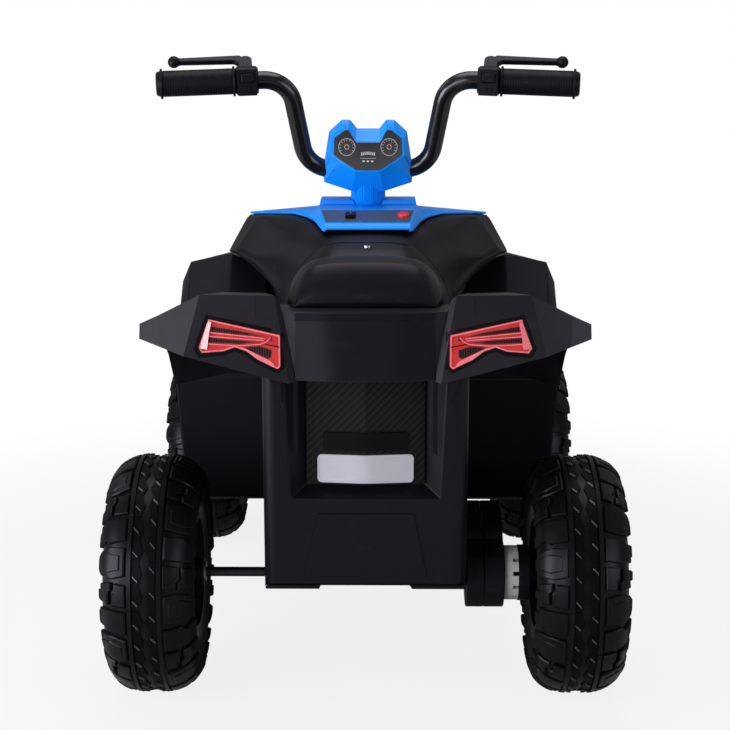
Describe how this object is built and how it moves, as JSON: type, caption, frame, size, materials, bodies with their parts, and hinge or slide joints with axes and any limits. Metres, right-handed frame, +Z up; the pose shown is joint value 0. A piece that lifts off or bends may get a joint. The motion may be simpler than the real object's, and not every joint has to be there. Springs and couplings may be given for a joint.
{
  "type": "ride-on quad bike",
  "caption": "Child's battery ride-on quad bike with moulded body and fenders, steered front wheels, geared rear wheel, handlebar with levers, saddle and foot pedal.",
  "frame": {"origin": "on the ground under the middle of the machine", "axes": "+Y forward, +X to the rider's right, +Z up"},
  "size_m": [0.64, 1.007, 0.7857],
  "materials": {
    "black_plastic": "satin moulded",
    "seat_plastic": "satin moulded",
    "tyre_plastic": "matt moulded tread",
    "grip_plastic": "matt ribbed",
    "blue_plastic": "gloss moulded",
    "twill_panel": "twill pattern film",
    "plate": "silver film",
    "panel_film": "printed film",
    "red_lens": "clear red",
    "red_plastic": "gloss",
    "clear_lens": "clear",
    "white_plastic": "natural nylon",
    "battery_case": "satin",
    "steel": "zinc plated",
    "black_steel": "gloss black paint"
  },
  "bodies": {
    "chassis": {"lower_body": "black_plastic", "rear_cover": "twill_panel", "number_plate": "plate", "rear_fender": "black_plastic", "tail_lamp_left": "red_lens", "tail_lamp_right": "red_lens", "seat": "seat_plastic", "footboard_left": "black_plastic", "footboard_right": "black_plastic", "front_fender_left": "black_plastic", "front_fender_right": "black_plastic", "tank_shell": "black_plastic", "cowl": "blue_plastic", "nose_panel": "black_plastic", "headlamp_left": "clear_lens", "headlamp_right": "clear_lens", "front_bumper": "black_steel", "control_panel": "panel_film", "rear_axle": "black_steel", "fasteners": "steel", "gearbox_inner": "black_plastic", "gearbox_outer": "black_plastic", "drive_motor": "steel", "battery": "battery_case", "front_axle_beam": "black_steel", "steering_bushes": "white_plastic"},
    "steering": {"steering_rod": "black_steel", "dash_housing": "blue_plastic", "gauge_panel": "panel_film", "handlebar": "black_steel", "grip_left": "grip_plastic", "grip_right": "grip_plastic", "switch_housing_left": "black_plastic", "switch_housing_right": "black_plastic"},
    "left_lever": {"brake_lever_left": "black_plastic"},
    "right_lever": {"brake_lever_right": "black_plastic"},
    "left_button": {"bar_button_left": "black_plastic"},
    "right_button": {"bar_button_right": "black_plastic"},
    "left_knuckle": {"knuckle_left": "black_steel"},
    "right_knuckle": {"knuckle_right": "black_steel"},
    "steering_link": {"tie_rod": "black_steel"},
    "pedal": {"foot_pedal": "black_plastic"},
    "power_switch": {"power_button": "red_plastic"},
    "rocker": {"direction_switch": "black_plastic"},
    "reduction": {"reduction_gear": "white_plastic"},
    "pinion": {"motor_pinion": "steel"},
    "front_left_wheel": {"front_left_tyre": "tyre_plastic", "front_left_rim": "black_plastic", "front_left_cap": "blue_plastic"},
    "front_right_wheel": {"front_right_tyre": "tyre_plastic", "front_right_rim": "black_plastic", "front_right_cap": "blue_plastic"},
    "rear_left_wheel": {"rear_left_tyre": "tyre_plastic", "rear_left_rim": "black_plastic", "rear_left_cap": "blue_plastic"},
    "rear_right_wheel": {"rear_right_tyre": "tyre_plastic", "rear_right_rim": "black_plastic", "rear_right_cap": "blue_plastic", "output_gear": "white_plastic"}
  },
  "joints": [
    {"name": "steer", "type": "hinge", "parent": "chassis", "child": "steering", "pos_m": [0, 0.29915, 0.17347], "axis": [0, -0.4695, 0.8829], "range_deg": [-25, 25]},
    {"name": "left_knuckle_swivel", "type": "hinge", "parent": "chassis", "child": "left_knuckle", "pos_m": [-0.186, 0.305, 0.15], "axis": [0, 0, 1], "range_deg": [-25, 25]},
    {"name": "right_knuckle_swivel", "type": "hinge", "parent": "chassis", "child": "right_knuckle", "pos_m": [0.186, 0.305, 0.15], "axis": [0, 0, 1], "range_deg": [-25, 25]},
    {"name": "link_pivot", "type": "hinge", "parent": "left_knuckle", "child": "steering_link", "pos_m": [-0.186, 0.255, 0.15], "axis": [0, 0, 1], "range_deg": [-25, 25]},
    {"name": "front_left_spin", "type": "hinge", "parent": "left_knuckle", "child": "front_left_wheel", "pos_m": [-0.261, 0.305, 0.15], "axis": [1, 0, 0], "continuous": true},
    {"name": "front_right_spin", "type": "hinge", "parent": "right_knuckle", "child": "front_right_wheel", "pos_m": [0.261, 0.305, 0.15], "axis": [1, 0, 0], "continuous": true},
    {"name": "rear_left_spin", "type": "hinge", "parent": "chassis", "child": "rear_left_wheel", "pos_m": [-0.261, -0.335, 0.15], "axis": [1, 0, 0], "continuous": true},
    {"name": "rear_right_spin", "type": "hinge", "parent": "chassis", "child": "rear_right_wheel", "pos_m": [0.261, -0.335, 0.15], "axis": [1, 0, 0], "continuous": true},
    {"name": "reduction_spin", "type": "hinge", "parent": "chassis", "child": "reduction", "pos_m": [0.14, -0.29938, 0.17989], "axis": [1, 0, 0], "continuous": true},
    {"name": "pinion_spin", "type": "hinge", "parent": "chassis", "child": "pinion", "pos_m": [0.138, -0.26301, 0.20089], "axis": [1, 0, 0], "continuous": true},
    {"name": "right_lever_pivot", "type": "hinge", "parent": "steering", "child": "right_lever", "pos_m": [0.17273, 0.03646, 0.77266], "axis": [0.0402, 0.5995, -0.7994], "range_deg": [0, 9], "stiffness_Nm_per_rad": 0.6, "springref_deg": -11.46},
    {"name": "left_lever_pivot", "type": "hinge", "parent": "steering", "child": "left_lever", "pos_m": [-0.17273, 0.03646, 0.77266], "axis": [0.0402, -0.5995, 0.7994], "range_deg": [0, 9], "stiffness_Nm_per_rad": 0.6, "springref_deg": -11.46},
    {"name": "right_button_press", "type": "slide", "parent": "steering", "child": "right_button", "axis": [0.1109, 0.9938, -0.0037], "range_m": [0, 0.0025], "stiffness_N_per_m": 400, "springref_m": -0.001},
    {"name": "left_button_press", "type": "slide", "parent": "steering", "child": "left_button", "axis": [-0.1109, 0.9938, -0.0037], "range_m": [0, 0.0025], "stiffness_N_per_m": 400, "springref_m": -0.001},
    {"name": "power_press", "type": "slide", "parent": "chassis", "child": "power_switch", "axis": [0, 0.2772, -0.9608], "range_m": [0, 0.0025], "stiffness_N_per_m": 400, "springref_m": -0.001},
    {"name": "rocker_tilt", "type": "hinge", "parent": "chassis", "child": "rocker", "pos_m": [-0.024, -0.01456, 0.5585], "axis": [1, 0, 0], "range_deg": [0, 9]},
    {"name": "pedal_press", "type": "hinge", "parent": "chassis", "child": "pedal", "pos_m": [0.183, -0.023, 0.205], "axis": [-1, 0, 0], "range_deg": [0, 12], "stiffness_Nm_per_rad": 1.5, "springref_deg": -11.46}
  ],
  "couplings": [
    {"joint": "left_knuckle_swivel", "follows": "steer", "ratio": 1},
    {"joint": "right_knuckle_swivel", "follows": "steer", "ratio": 1},
    {"joint": "link_pivot", "follows": "steer", "ratio": -1},
    {"joint": "reduction_spin", "follows": "rear_right_spin", "ratio": -3.4286},
    {"joint": "pinion_spin", "follows": "rear_right_spin", "ratio": 10.286}
  ]
}
